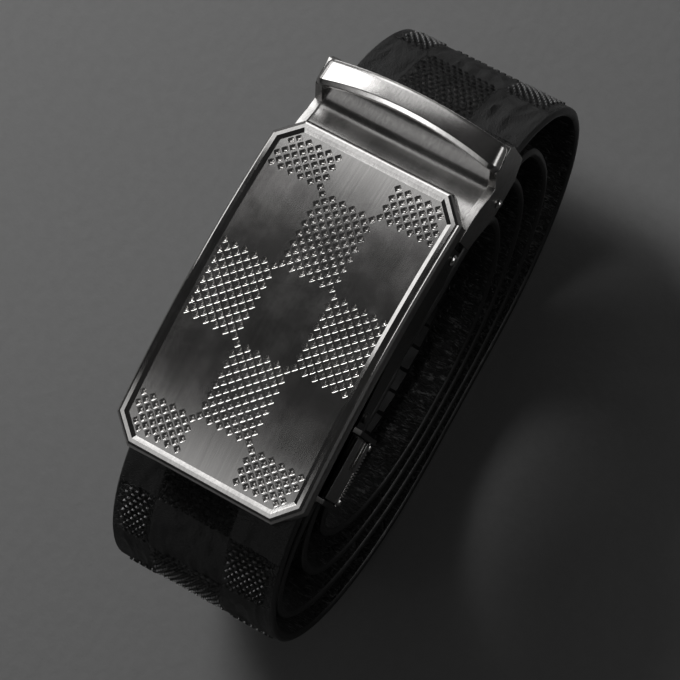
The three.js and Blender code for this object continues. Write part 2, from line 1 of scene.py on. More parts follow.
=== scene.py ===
"""Ratchet belt, rolled up on the edge of its outer turn with the buckle on top.

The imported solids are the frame. The strap, face plate, metalwork and spring are built here as finer
meshes in the same places, and every surface gets its finish. Sizes are millimetres, and meshes are
scaled to metres when they are made.
"""

import json
import logging
import math
from collections.abc import Sequence
from dataclasses import dataclass, field
from enum import Enum

import bmesh
import bpy
import numpy as np
from mathutils import Matrix, Vector, geometry, noise

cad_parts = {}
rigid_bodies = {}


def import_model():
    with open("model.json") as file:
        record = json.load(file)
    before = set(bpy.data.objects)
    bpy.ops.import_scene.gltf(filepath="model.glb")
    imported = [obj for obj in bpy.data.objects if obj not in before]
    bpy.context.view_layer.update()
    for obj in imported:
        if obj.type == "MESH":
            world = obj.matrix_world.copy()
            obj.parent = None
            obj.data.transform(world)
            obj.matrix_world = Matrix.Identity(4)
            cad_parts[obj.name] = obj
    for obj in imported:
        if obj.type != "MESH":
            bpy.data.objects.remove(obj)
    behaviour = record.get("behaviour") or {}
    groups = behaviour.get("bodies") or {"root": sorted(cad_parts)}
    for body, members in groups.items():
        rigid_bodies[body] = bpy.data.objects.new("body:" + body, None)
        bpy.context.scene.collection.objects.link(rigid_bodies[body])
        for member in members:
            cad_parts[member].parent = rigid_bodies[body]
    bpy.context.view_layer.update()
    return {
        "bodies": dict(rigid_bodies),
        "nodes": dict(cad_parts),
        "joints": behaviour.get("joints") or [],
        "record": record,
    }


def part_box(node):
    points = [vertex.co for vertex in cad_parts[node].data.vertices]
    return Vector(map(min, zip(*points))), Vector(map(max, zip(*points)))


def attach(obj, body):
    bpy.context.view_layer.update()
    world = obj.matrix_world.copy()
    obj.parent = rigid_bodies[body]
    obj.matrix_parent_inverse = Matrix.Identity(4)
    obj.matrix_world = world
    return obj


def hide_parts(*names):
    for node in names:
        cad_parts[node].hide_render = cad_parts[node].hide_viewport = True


log = logging.getLogger("ratchet_belt")

MM = 0.001
PICTURE = 680  # pixels along each side of the photograph
Number = float | int


class Body(Enum):
    """The two bodies that pieces ride on."""

    ROOT = "root"
    LEVER = "lever"


class Face(Enum):
    """The sides of the strap, in the order of its material slots."""

    OUTER = 0
    EDGE = 1
    INNER = 2


# Shader maths


class Value:
    """One output of a shader tree, with arithmetic that adds Math nodes."""

    def __init__(self, graph: "Graph", socket: bpy.types.NodeSocket) -> None:
        """Keeps the graph and the socket that the value comes from."""
        self.graph = graph
        self.socket = socket

    def _with(self, operation: str, first: "Value | Number", second: "Value | Number") -> "Value":
        """Adds a Math node on two values.

        Args:
            operation: the Math node's operation.
            first: its first value.
            second: its second value.

        Returns:
            The node's result.
        """
        return self.graph.node("ShaderNodeMath", {"operation": operation}, {0: first, 1: second})

    def __add__(self, other: "Value | Number") -> "Value":
        """Sum."""
        return self._with("ADD", self, other)

    __radd__ = __add__

    def __sub__(self, other: "Value | Number") -> "Value":
        """Difference."""
        return self._with("SUBTRACT", self, other)

    def __rsub__(self, other: "Value | Number") -> "Value":
        """Difference from a number."""
        return self._with("SUBTRACT", other, self)

    def __mul__(self, other: "Value | Number") -> "Value":
        """Product."""
        return self._with("MULTIPLY", self, other)

    __rmul__ = __mul__

    def __truediv__(self, other: "Value | Number") -> "Value":
        """Quotient."""
        return self._with("DIVIDE", self, other)

    def __gt__(self, other: "Value | Number") -> "Value":
        """One where this is greater, else nought."""
        return self._with("GREATER_THAN", self, other)

    def __lt__(self, other: "Value | Number") -> "Value":
        """One where this is less, else nought."""
        return self._with("LESS_THAN", self, other)

    def __mod__(self, other: "Value | Number") -> "Value":
        """Remainder, never negative."""
        return self._with("FLOORED_MODULO", self, other)

    def magnitude(self) -> "Value":
        """Absolute value."""
        return self.graph.node("ShaderNodeMath", {"operation": "ABSOLUTE"}, {0: self})

    def spread(self, low: float, high: float, to_low: float = 0.0, to_high: float = 1.0) -> "Value":
        """Maps one range to another smoothly, held at its ends.

        Args:
            low: where the result is to_low.
            high: where the result is to_high.
            to_low: result at the low end.
            to_high: result at the high end.

        Returns:
            The mapped value.
        """
        settings = {"interpolation_type": "SMOOTHSTEP"}
        inputs = {0: self, 1: low, 2: high, 3: to_low, 4: to_high}
        return self.graph.node("ShaderNodeMapRange", settings, inputs)


class Graph:
    """A material's tree with one Principled surface."""

    def __init__(self, name: str) -> None:
        """Makes the material and finds its surface."""
        self.material = bpy.data.materials.new(name)
        self.material.use_nodes = True
        self.tree = self.material.node_tree
        self.surface = self.tree.nodes["Principled BSDF"]

    def node(self, kind: str, settings: dict, inputs: dict, output: int | str = 0) -> Value:
        """Adds any node.

        Args:
            kind: the node's type name.
            settings: its properties, set first.
            inputs: values or links of its sockets, by number or name.
            output: the output to return, by number or name.

        Returns:
            The chosen output.
        """
        node = self.tree.nodes.new(kind)
        for key, setting in settings.items():
            setattr(node, key, setting)
        for key, given in inputs.items():
            self.feed(node.inputs[key], given)
        return Value(self, node.outputs[output])

    def feed(self, socket: bpy.types.NodeSocket, given: "Value | Number | Sequence[float]") -> None:
        """Links a value to a socket, or sets the socket's own number."""
        if isinstance(given, Value):
            self.tree.links.new(given.socket, socket)
        else:
            socket.default_value = given

    def set(self, name: str, given: "Value | Number | Sequence[float]") -> None:
        """Feeds one of the surface's sockets."""
        self.feed(self.surface.inputs[name], given)

    def place(self) -> Value:
        """Position on the object in metres, as the object sits at the origin."""
        return self.node("ShaderNodeTexCoord", {}, {}, "Object")

    def belt(self) -> Value:
        """Millimetres along, across and through the strap."""
        return self.node("ShaderNodeAttribute", {"attribute_name": "belt"}, {}, "Vector")

    def stretched(self, vector: Value, scale: Sequence[float]) -> Value:
        """Scales a vector along each axis."""
        return self.node("ShaderNodeVectorMath", {"operation": "MULTIPLY"}, {0: vector, 1: scale})

    def axis(self, vector: Value, name: str) -> Value:
        """One component of a vector."""
        return self.node("ShaderNodeSeparateXYZ", {}, {0: vector}, name)

    def grain(self, vector: Value, scale: float, detail: float = 2.0, roughness: float = 0.5) -> Value:
        """Noise around one half.

        Args:
            vector: where it is read.
            scale: its fineness.
            detail: its octaves.
            roughness: how strong the finer octaves are.

        Returns:
            The noise.
        """
        inputs = {"Vector": vector, "Scale": scale, "Detail": detail, "Roughness": roughness}
        return self.node("ShaderNodeTexNoise", {}, inputs, 0)

    def swirl(self, vector: Value, scale: float) -> Value:
        """Coloured noise, as a vector that bends what is read through it."""
        inputs = {"Vector": vector, "Scale": scale, "Detail": 3.0}
        return self.node("ShaderNodeTexNoise", {}, inputs, "Color")

    def bent(self, vector: Value, scale: float) -> Value:
        """A vector bent by coloured noise of a given fineness."""
        swirl = self.swirl(vector, scale)
        return self.node("ShaderNodeVectorMath", {"operation": "ADD"}, {0: vector, 1: swirl})

    def cracks(self, vector: Value, scale: float) -> Value:
        """Distance to the borders of random cells, nought along the borders."""
        settings = {"feature": "DISTANCE_TO_EDGE"}
        return self.node("ShaderNodeTexVoronoi", settings, {"Vector": vector, "Scale": scale}, "Distance")

    def colour(self, factor: "Value | Number", first: Sequence[float], second: Sequence[float]) -> Value:
        """Mixes two colours."""
        return self.node("ShaderNodeMix", {"data_type": "RGBA"}, {0: factor, 6: first, 7: second}, 2)

    def bump(self, height: Value, distance: float, strength: float = 1.0) -> Value:
        """Turns heights into a normal.

        Args:
            height: the relief from nought to one.
            distance: what a height of one stands for, in metres.
            strength: share of the relief that shows.

        Returns:
            The bumped normal.
        """
        inputs = {"Height": height, "Distance": distance, "Strength": strength}
        return self.node("ShaderNodeBump", {}, inputs, "Normal")


def grey(level: float, warmth: float = 0.0) -> tuple[float, float, float, float]:
    """A nearly neutral colour: positive warmth leans to red, negative to blue."""
    return (level * (1 + warmth), level, level * (1 - warmth), 1.0)


@dataclass(frozen=True)
class Metal:
    """Plated metal with faint handling marks, or brushed along the belt."""

    name: str
    tone: float
    roughness: float
    warmth: float = 0.02
    brushed: bool = False
    smudge: float = 0.05
    relief: float = 0.4  # micrometres of the fine scratches

    def material(self) -> bpy.types.Material:
        """Builds the metal.

        Returns:
            The material.
        """
        graph = Graph(self.name)
        place = graph.place()
        marks = graph.grain(place, 160.0, 4.0, 0.6)
        if self.brushed:
            streaks = graph.grain(graph.stretched(place, (26.0, 5200.0, 400.0)), 1.0, 3.0, 0.65)
            broad = graph.grain(graph.stretched(place, (9.0, 1300.0, 90.0)), 1.0, 2.0)
            lines = streaks * 0.65 + broad * 0.35
        else:
            lines = graph.grain(graph.stretched(place, (900.0, 2600.0, 900.0)), 1.0, 3.0, 0.7)
        graph.set("Metallic", 1.0)
        shade = marks.spread(0.3, 0.7) * 0.35 + lines.spread(0.25, 0.75) * 0.65
        graph.set("Base Color", graph.colour(
            shade, grey(self.tone * 0.8, self.warmth), grey(self.tone * 1.15, self.warmth)))
        graph.set("Roughness", marks.spread(0.35, 0.7, self.roughness, self.roughness + self.smudge))
        graph.set("Normal", graph.bump(lines, self.relief * 1e-6))
        return graph.material


@dataclass(frozen=True)
class StrapOutside:
    """Black leather: crinkled smooth cells, and the sunk ground under the woven cells."""

    columns: tuple[float, float]  # borders between the three columns of cells
    row_pitch: float
    row_start: float

    def material(self) -> bpy.types.Material:
        """Builds the outer face.

        Returns:
            The material.
        """
        graph = Graph("strap_outer_leather")
        belt = graph.belt()
        along = graph.axis(belt, "X")
        across = graph.axis(belt, "Y")
        middle = (across > self.columns[0]) * (across < self.columns[1])
        even = ((along - self.row_start) / self.row_pitch % 2.0) > 1.0
        woven = middle + even - 2.0 * middle * even
        wander = graph.grain(belt, 0.35, 3.0, 0.6)
        bent = graph.bent(belt, 0.5)
        crackle = graph.cracks(graph.stretched(bent, (0.8, 1.3, 1.0)), 0.7).spread(0.0, 0.10)
        pores = graph.grain(belt, 3.2, 4.0, 0.65)
        folds = graph.grain(graph.stretched(belt, (0.55, 0.75, 0.3)), 1.0, 5.0, 0.72)
        smooth = crackle * 0.5 + pores * 0.6 + folds * 1.6
        ground = graph.grain(graph.stretched(belt, (5.2, 2.4, 1.0)), 1.0, 2.0)
        relief = smooth * (1 - woven) + ground * woven * 0.4
        tone = folds.spread(0.35, 0.75) * 0.6 + pores.spread(0.45, 0.8) * 0.4
        # Painted highlight: thin pale lines along the fine creases of the smooth cells, mixed into the
        # leather's colour.
        lines = (1 - crackle) * wander.spread(0.45, 0.65) * (1 - woven)
        leather = graph.colour(tone * (1 - woven * 0.8), grey(0.002), grey(0.010, -0.02))
        graph.set("Base Color", graph.colour(lines * 0.5, leather, grey(0.11)))
        graph.set("Roughness", pores.spread(0.35, 0.7, 0.26, 0.42) + woven * 0.25)
        graph.set("Specular IOR Level", 0.45)
        graph.set("Normal", graph.bump(relief, 0.0006, 1.0))
        return graph.material


@dataclass(frozen=True)
class StrapEdge:
    """Burnished edge paint."""

    tone: float = 0.03

    def material(self) -> bpy.types.Material:
        """Builds the painted edge.

        Returns:
            The material.
        """
        graph = Graph("strap_edge_paint")
        belt = graph.belt()
        waves = graph.grain(graph.stretched(belt, (0.5, 2.0, 2.0)), 1.0, 3.0)
        specks = graph.grain(belt, 5.0, 2.0)
        graph.set("Base Color", graph.colour(waves, grey(self.tone * 0.7), grey(self.tone * 1.3)))
        graph.set("Roughness", specks.spread(0.3, 0.7, 0.34, 0.46))
        graph.set("Normal", graph.bump(waves * 0.7 + specks * 0.3, 0.00008))
        return graph.material


@dataclass(frozen=True)
class StrapInside:
    """Napped inner face, with a painted highlight on the nap towards the strap's edges."""

    def material(self) -> bpy.types.Material:
        """Builds the inner face.

        Returns:
            The material.
        """
        graph = Graph("strap_inner_nap")
        belt = graph.belt()
        bent = graph.bent(belt, 0.3)
        fibres = graph.grain(graph.stretched(bent, (2.4, 0.55, 1.0)), 1.0, 5.0, 0.75)
        tufts = graph.grain(graph.stretched(bent, (0.8, 0.4, 1.0)), 1.0, 4.0, 0.7)
        creases = graph.cracks(graph.stretched(bent, (1.5, 0.5, 1.0)), 0.8).spread(0.0, 0.12)
        nap = fibres * 0.6 + tufts * 0.4
        # Painted highlight: the nap's colour turns pale towards the strap's edges, standing in for light
        # glancing off the nap there.
        rim = graph.axis(belt, "Y").magnitude().spread(8.0, 16.5, 0.4, 1.0)
        painted_highlight = nap.spread(0.50, 0.66) * rim
        graph.set("Base Color", graph.colour(painted_highlight, grey(0.006), grey(0.42)))
        graph.set("Roughness", tufts.spread(0.3, 0.7, 0.45, 0.75))
        graph.set("Normal", graph.bump(nap + creases * 0.3, 0.0014, 1.0))
        return graph.material


@dataclass(frozen=True)
class Thread:
    """Raised woven dashes, glossy black."""

    def material(self) -> bpy.types.Material:
        """Builds the dashes.

        Returns:
            The material.
        """
        graph = Graph("strap_woven_dashes")
        belt = graph.belt()
        tint = graph.grain(belt, 1.4, 3.0)
        strands = graph.grain(graph.stretched(belt, (9.0, 1.5, 1.0)), 1.0, 2.0)
        graph.set("Base Color", graph.colour(tint.spread(0.35, 0.7), grey(0.02), grey(0.075)))
        graph.set("Roughness", strands.spread(0.3, 0.7, 0.16, 0.30))
        graph.set("Normal", graph.bump(strands, 0.00006))
        return graph.material


@dataclass(frozen=True)
class Moulding:
    """Moulded black plastic of the toothed track."""

    def material(self) -> bpy.types.Material:
        """Builds the plastic.

        Returns:
            The material.
        """
        graph = Graph("track_plastic")
        place = graph.place()
        fine = graph.grain(place, 3500.0, 3.0)
        broad = graph.grain(place, 240.0, 3.0)
        graph.set("Base Color", graph.colour(broad, grey(0.009), grey(0.02)))
        graph.set("Roughness", broad.spread(0.3, 0.7, 0.36, 0.5))
        graph.set("Normal", graph.bump(fine, 0.00003))
        return graph.material


@dataclass(frozen=True)
class FloorFinish:
    """Plain pale matt floor with a faint mottle."""

    tone: float = 0.55

    def material(self) -> bpy.types.Material:
        """Builds the floor's finish.

        Returns:
            The material.
        """
        graph = Graph("floor_matt")
        place = graph.place()
        mottle = graph.grain(place, 420.0, 3.0)
        graph.set("Base Color", graph.colour(mottle, grey(self.tone * 0.94), grey(self.tone * 1.06)))
        graph.set("Roughness", 0.85)
        graph.set("Normal", graph.bump(mottle, 0.0002, 0.5))
        return graph.material


# Meshes


@dataclass
class Shape:
    """Points in millimetres and the faces between them, each face with a material number."""

    points: list[Sequence[float]] = field(default_factory=list)
    faces: list[Sequence[int]] = field(default_factory=list)
    finishes: list[int] = field(default_factory=list)

    def add_points(self, points: Sequence[Sequence[float]]) -> list[int]:
        """Adds points and returns their numbers."""
        start = len(self.points)
        self.points.extend(points)
        return list(range(start, len(self.points)))

    def add_face(self, corners: Sequence[int], finish: int = 0) -> None:
        """Adds one face."""
        self.faces.append(tuple(corners))
        self.finishes.append(finish)

    def skin(self, rings: Sequence[Sequence[int]], finish: int = 0) -> None:
        """Skins closed rings of point numbers, all of one length.

        Args:
            rings: the rings in order.
            finish: the material number.
        """
        count = len(rings[0])
        for near, far in zip(rings, rings[1:]):
            for i in range(count):
                j = (i + 1) % count
                self.add_face((near[i], near[j], far[j], far[i]), finish)

    def build(self, name: str, materials: Sequence[bpy.types.Material],
              sharp: float = 30.0) -> bpy.types.Object:
        """Makes the object.

        Args:
            name: the piece's name.
            materials: its material slots.
            sharp: edges above this angle in degrees stay crisp.

        Returns:
            The new object.
        """
        mesh = bpy.data.meshes.new(name)
        mesh.from_pydata([tuple(c * MM for c in point) for point in self.points], [], self.faces)
        return finished(name, mesh, materials, sharp, self.finishes)


def finished(name: str, mesh: bpy.types.Mesh, materials: Sequence[bpy.types.Material],
             sharp: float, finishes: Sequence[int] = ()) -> bpy.types.Object:
    """Turns a mesh into an object with smooth faces, crisp edges and its materials.

    Args:
        name: the piece's name.
        mesh: the mesh.
        materials: its material slots.
        sharp: edges above this angle in degrees stay crisp.
        finishes: a material number for each face.

    Returns:
        The new object.
    """
    for material in materials:
        mesh.materials.append(material)
    if len(finishes):
        mesh.polygons.foreach_set("material_index", np.array(finishes, dtype=np.int32))
    mesh.shade_smooth()
    mesh.set_sharp_from_angle(angle=math.radians(sharp))
    mesh.update()
    piece = bpy.data.objects.new(name, mesh)
    bpy.context.scene.collection.objects.link(piece)
    return piece


def settle(piece: bpy.types.Object, body: Body, slot: str, *nodes: str) -> bpy.types.Object:
    """Rides a piece on its body and hides the solids that it stands for."""
    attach(piece, body.value)
    if nodes:
        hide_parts(*nodes)
    log.info("%s: %d faces", piece.name, len(piece.data.polygons))
    return piece


@dataclass(frozen=True)
class Extent:
    """A node's box in millimetres."""

    low: Vector
    high: Vector

    @classmethod
    def of(cls, node: str) -> "Extent":
        """Measures a node of the frame."""
        low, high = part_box(node)
        return cls(low / MM, high / MM)

    @property
    def middle(self) -> Vector:
        """The box's middle."""
        return (self.low + self.high) / 2

    @property
    def size(self) -> Vector:
        """The box's sides."""
        return self.high - self.low


# Strap


@dataclass(frozen=True)
class Route:
    """The strap's outer face, from the clipped end to the free end, in millimetres."""

    run: np.ndarray  # length so far
    middle: np.ndarray  # points on the outer face
    inward: np.ndarray  # unit vectors into the strap
    half_width: np.ndarray

    @classmethod
    def of(cls, strap: bpy.types.Object, step: float) -> "Route":
        """Reads the strap's route from its solid and runs a smooth curve through it.

        Args:
            strap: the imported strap.
            step: length between two sections.

        Returns:
            The route.
        """
        left = cls._chains(strap, 1.0)
        right = cls._chains(strap, -1.0)
        middle = (left[0] + right[0]) / 2
        half = (left[0] - right[0])[:, 1] / 2
        steps = np.linalg.norm(np.diff(middle[:, [0, 2]], axis=0), axis=1)
        length = np.concatenate(([0.0], np.cumsum(steps)))
        run = np.linspace(0.0, length[-1], int(round(length[-1] / step)) + 1)
        path = cls._curve(length, middle, run)
        slope = np.gradient(path, run, axis=0)
        slope[:, 1] = 0.0
        slope /= np.linalg.norm(slope, axis=1)[:, None]
        inward = np.stack((slope[:, 2], np.zeros(len(run)), -slope[:, 0]), axis=1)
        if np.mean(np.sum((left[1][:4] - left[0][:4]) * inward[0], axis=1)) < 0:
            inward = -inward
        return cls(run, path, inward, np.interp(run, length, half))

    @staticmethod
    def _chains(strap: bpy.types.Object, side: float) -> tuple[np.ndarray, np.ndarray]:
        """Finds the outer and the inner edge on one side of the strap.

        Args:
            strap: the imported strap.
            side: plus or minus one, across the belt.

        Returns:
            The outer edge's points and the inner edge's, from the clipped end.
        """
        mesh = bmesh.new()
        mesh.from_mesh(strap.data)
        bmesh.ops.remove_doubles(mesh, verts=mesh.verts, dist=2e-6)
        for face in mesh.faces:
            face.tag = face.normal.y * side > 0.1
        rim = [e for e in mesh.edges if sum(f.tag for f in e.link_faces) == 1]
        following: dict = {}
        for edge in rim:
            for corner, other in (edge.verts, reversed(edge.verts)):
                following.setdefault(corner, []).append(other)
        start = rim[0].verts[0]
        loop = [start]
        step = following[start][0]
        while step is not start:
            loop.append(step)
            ahead = following[step]
            step = ahead[0] if ahead[0] is not loop[-2] else ahead[1]
        points = np.array([v.co for v in loop]) / MM
        mesh.free()
        ways = np.roll(points, -1, axis=0) - points
        spans = np.linalg.norm(ways, axis=1)
        ways /= spans[:, None]
        turn = np.abs(np.sum(ways * np.roll(ways, 1, axis=0), axis=1))
        square = (turn < 0.45) & (np.roll(turn, -1) < 0.45)
        ends = [i for i in np.where(square)[0] if spans[i] < 3.0]
        first, second = ends[0], ends[1]
        half = points[first + 1:second + 1]
        rest = np.roll(points, -(second + 1), axis=0)[:len(points) - len(half)][::-1]
        longer, shorter = (half, rest) if line_length(half) > line_length(rest) else (rest, half)
        if longer[0][2] < longer[-1][2] + 5.0:
            longer, shorter = longer[::-1], shorter[::-1]
        return longer, shorter

    @staticmethod
    def _curve(length: np.ndarray, points: np.ndarray, run: np.ndarray) -> np.ndarray:
        """A smooth curve through points, read at given lengths.

        Args:
            length: length at each point.
            points: the points.
            run: lengths to read.

        Returns:
            Points on the curve.
        """
        slope = np.gradient(points, length, axis=0)
        place = np.clip(np.searchsorted(length, run, side="right") - 1, 0, len(length) - 2)
        span = length[place + 1] - length[place]
        t = ((run - length[place]) / span)[:, None]
        a, b = points[place], points[place + 1]
        ma, mb = slope[place] * span[:, None], slope[place + 1] * span[:, None]
        return ((2 * t**3 - 3 * t**2 + 1) * a + (t**3 - 2 * t**2 + t) * ma
                + (3 * t**2 - 2 * t**3) * b + (t**3 - t**2) * mb)

    def at(self, run: float, across: float, depth: float) -> np.ndarray:
        """A point of the strap.

        Args:
            run: length from the clipped end.
            across: distance from the strap's middle line.
            depth: distance under its outer face.

        Returns:
            The point.
        """
        place = np.array([np.interp(run, self.run, self.middle[:, k]) for k in range(3)])
        inward = np.array([np.interp(run, self.run, self.inward[:, k]) for k in range(3)])
        return place + inward * depth + np.array([0.0, across, 0.0])


def line_length(points: np.ndarray) -> float:
    """Length of a line of points."""
    return float(np.sum(np.linalg.norm(np.diff(points, axis=0), axis=1)))


@dataclass
class Strap:
    """The leather strap: crinkled smooth cells beside woven ones, painted edges, napped inside."""

    thickness: float = 2.2
    step: float = 1.0
    outer_columns: int = 61
    inner_columns: int = 25
    edge_points: int = 5
    edge_bulge: float = 0.03  # share of the half width that the edge stands out
    crown: float = 0.22
    columns: tuple[float, float] = (-6.6, 9.4)  # borders between the three columns of cells
    row_pitch: float = 12.28
    row_start: float = 31.7
    puff: float = 0.16  # smooth cells stand this much over the woven ones
    fold_height: float = 0.55  # folds of the smooth cells, in the tightest bend
    wrinkle_height: float = 0.16
    crease_height: float = 0.30  # creases of the inner face, in the tightest bend
    nap_height: float = 0.08
    bend_gain: float = 28.0  # radius at and under which a bend has its full folds
    dash_pitch: float = 1.08  # from row to row, along the strap
    dash_spacing: float = 1.40  # from dash to dash in a row
    dash_length: float = 1.14
    dash_width: float = 0.52
    dash_height: float = 0.34
    dash_crest: float = 0.6  # share of a dash's length along its crest
    dash_sink: float = 0.12  # how far a dash's foot lies in the leather
    margin: float = 0.9  # plain leather along the strap's edges

    def woven(self, run: float, across: float) -> bool:
        """Whether a place lies in a woven cell."""
        middle = self.columns[0] < across < self.columns[1]
        even = ((run - self.row_start) / self.row_pitch) % 2.0 > 1.0
        return middle == even

    def outline(self) -> tuple[np.ndarray, np.ndarray, list[int]]:
        """The section of the strap, round once from the outer face's near edge.

        Returns:
            Across as shares of the half width with an inset, depths, and the face of each span.
        """
        across: list[float] = []
        depth: list[float] = []
        faces: list[int] = []
        outer = np.sin(np.linspace(-math.pi / 2, math.pi / 2, self.outer_columns) * 0.999)
        outer = 0.6 * outer + 0.4 * np.linspace(-1, 1, self.outer_columns)
        for share in outer:
            across.append(share)
            depth.append(self.crown * abs(share) ** 8)
            faces.append(Face.OUTER.value)
        faces[-1] = Face.EDGE.value
        for i in range(self.edge_points):
            share = (i + 0.5) / self.edge_points
            across.append(1.0 + self.edge_bulge * math.sin(math.pi * share))
            depth.append(self.crown + (self.thickness - 2 * self.crown) * share)
            faces.append(Face.EDGE.value)
        for share in np.linspace(1, -1, self.inner_columns):
            across.append(share)
            depth.append(self.thickness - self.crown * abs(share) ** 8)
            faces.append(Face.INNER.value)
        faces[-1] = Face.EDGE.value
        for i in range(self.edge_points):
            share = 1 - (i + 0.5) / self.edge_points
            across.append(-1.0 - self.edge_bulge * math.sin(math.pi * share))
            depth.append(self.crown + (self.thickness - 2 * self.crown) * share)
            faces.append(Face.EDGE.value)
        return np.array(across), np.array(depth), faces

    def relief(self, run: float, across: float, face: int, bend: float) -> float:
        """How far a point of the strap is pressed in.

        Args:
            run: length from the clipped end.
            across: distance from the middle line.
            face: which side of the strap it is on.
            bend: share from nought on a run to one in the tightest bend.

        Returns:
            The depth in millimetres.
        """
        if face == Face.INNER.value:
            spot = Vector((run * 0.55, across * 0.16, 0.0))
            creases = self.crease_height * bend * noise.fractal(spot, 0.7, 2.1, 3)
            return self.nap_height * noise.noise(spot * 2.4) - creases
        if face != Face.OUTER.value:
            return 0.0
        if self.woven(run, across):
            return self.puff
        spot = Vector((run * 0.14, across * 0.42, 3.0))
        ridge = min(1.0, abs(noise.noise(spot)) * 3.2)
        wrinkles = self.wrinkle_height * noise.fractal(spot * 2.6, 0.8, 2.2, 3)
        return self.fold_height * bend * ridge + wrinkles

    def body(self, route: Route) -> bpy.types.Object:
        """Builds the strap itself.

        Args:
            route: the strap's route.

        Returns:
            The piece.
        """
        across, depth, faces = self.outline()
        slope = np.gradient(route.inward, route.run, axis=0)
        bend = np.clip(np.linalg.norm(slope, axis=1) * self.bend_gain, 0.0, 1.0)
        shape = Shape()
        coordinates: list[tuple[float, float, float]] = []
        rings: list[list[int]] = []
        for place, run in enumerate(route.run):
            half = route.half_width[place]
            ring = []
            for share, under, face in zip(across, depth, faces):
                sideways = half * share
                pressed = under + self.relief(run, sideways, face, bend[place]) * (1 - abs(share) ** 6)
                ring.append(route.middle[place] + route.inward[place] * pressed + np.array([0, sideways, 0]))
                coordinates.append((run, sideways, under))
            rings.append(shape.add_points(ring))
        count = len(across)
        for near, far in zip(rings, rings[1:]):
            for i in range(count):
                j = (i + 1) % count
                shape.add_face((near[i], far[i], far[j], near[j]), faces[i])
        shape.add_face(rings[0], Face.EDGE.value)
        shape.add_face(rings[-1][::-1], Face.EDGE.value)
        finishes = [
            StrapOutside(self.columns, self.row_pitch, self.row_start).material(),
            StrapEdge().material(),
            StrapInside().material(),
        ]
        piece = shape.build("strap_leather", finishes, sharp=60.0)
        self.mark(piece, coordinates)
        return piece

    @staticmethod
    def mark(piece: bpy.types.Object, coordinates: Sequence[Sequence[float]]) -> None:
        """Stores each point's place along, across and through the strap."""
        attribute = piece.data.attributes.new("belt", "FLOAT_VECTOR", "POINT")
        attribute.data.foreach_set("vector", np.array(coordinates, dtype=np.float32).ravel())

    def dash_places(self, route: Route) -> list[tuple[float, float, float]]:
        """Lists the dashes of every woven cell.

        Args:
            route: the strap's route.

        Returns:
            Length along the strap, place across it and dash length, for each dash.
        """
        places = []
        rows = int(route.run[-1] / self.dash_pitch)
        for row in range(1, rows):
            run = row * self.dash_pitch
            half = float(np.interp(run, route.run, route.half_width)) - self.margin
            stagger = (row % 2) * self.dash_spacing / 2
            count = int(half / self.dash_spacing) + 1
            for column in range(-count, count + 1):
                across = column * self.dash_spacing + stagger
                reach = self.dash_length * 0.5
                fits = abs(across) + reach < half
                if fits and self.woven(run, across - reach) and self.woven(run, across + reach):
                    places.append((run, across, self.dash_length))
        return places

    def dashes(self, route: Route) -> bpy.types.Object:
        """Builds every raised dash as one mesh.

        Args:
            route: the strap's route.

        Returns:
            The piece.
        """
        shape = Shape()
        coordinates: list[tuple[float, float, float]] = []
        for run, across, length in self.dash_places(route):
            base = route.at(run, across, self.puff)
            inward = route.at(run, across, 1.0) - route.at(run, across, 0.0)
            ahead = np.array([-inward[2], 0.0, inward[0]])
            lean = 0.12 * noise.noise(Vector((run * 0.7, across * 0.7, 7.0)))
            side = np.array([0.0, 1.0, 0.0]) + ahead * lean
            half, wide = length / 2, self.dash_width / 2
            rim = [(-half, 0), (-half * 0.55, -wide), (half * 0.55, -wide),
                   (half, 0), (half * 0.55, wide), (-half * 0.55, wide)]
            low = [base + side * a + ahead * b + inward * self.dash_sink for a, b in rim]
            crest = half * self.dash_crest
            top = [base + side * a - inward * self.dash_height for a in (-crest, crest)]
            lower = shape.add_points(low)
            ridge = shape.add_points(top)
            shape.add_face((lower[1], lower[2], ridge[1], ridge[0]))
            shape.add_face((lower[4], lower[5], ridge[0], ridge[1]))
            shape.add_face((lower[0], lower[1], ridge[0]))
            shape.add_face((lower[5], lower[0], ridge[0]))
            shape.add_face((lower[2], lower[3], ridge[1]))
            shape.add_face((lower[3], lower[4], ridge[1]))
            shape.add_face(lower[::-1])
            coordinates += [(run, across, 0.0)] * (len(low) + len(top))
        piece = shape.build("strap_dashes", [Thread().material()], sharp=80.0)
        self.mark(piece, coordinates)
        return piece

    def make(self, frame: dict) -> Route:
        """Builds and settles the strap and its dashes.

        Args:
            frame: the loaded frame.

        Returns:
            The strap's route.
        """
        route = Route.of(frame["nodes"]["strap"], self.step)
        settle(self.body(route), Body.ROOT, "strap_leather", "strap")
        settle(self.dashes(route), Body.ROOT, "strap_leather")
        return route


# Face plate


